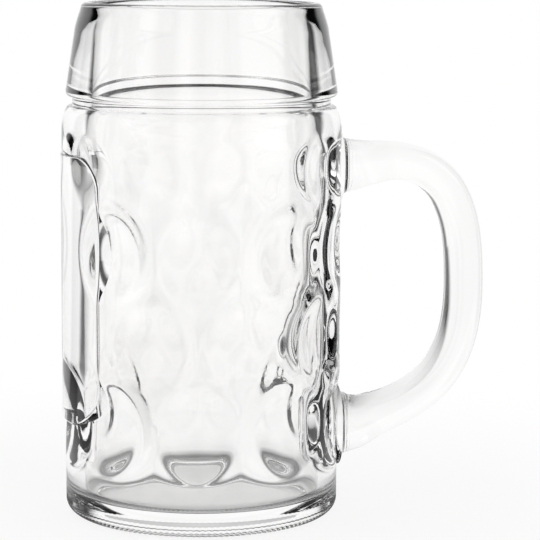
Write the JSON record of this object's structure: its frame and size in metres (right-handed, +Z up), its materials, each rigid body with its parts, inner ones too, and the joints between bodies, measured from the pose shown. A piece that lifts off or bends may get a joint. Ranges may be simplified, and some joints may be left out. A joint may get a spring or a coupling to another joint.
{
  "type": "dimpled glass beer mug",
  "caption": "Tall clear glass beer mug with a dimpled body, a smooth collar under a rounded lip, a plain panel and a sealed-on loop handle.",
  "frame": {"origin": "on the mug's axis, in the plane of the ring that it stands on", "axes": "+Z up along the mug's axis to the lip, +X from the axis towards the handle, and the plain panel faces -X"},
  "size_m": [0.1683, 0.1092, 0.2],
  "materials": {
    "body_glass": "clear pressed and fire-polished glass with a faint green tint in its thick parts",
    "handle_glass": "clear solid pressed glass, fire-polished, with a faint green tint"
  },
  "bodies": {
    "root": {"mug_body": "body_glass", "handle": "handle_glass"}
  },
  "joints": []
}
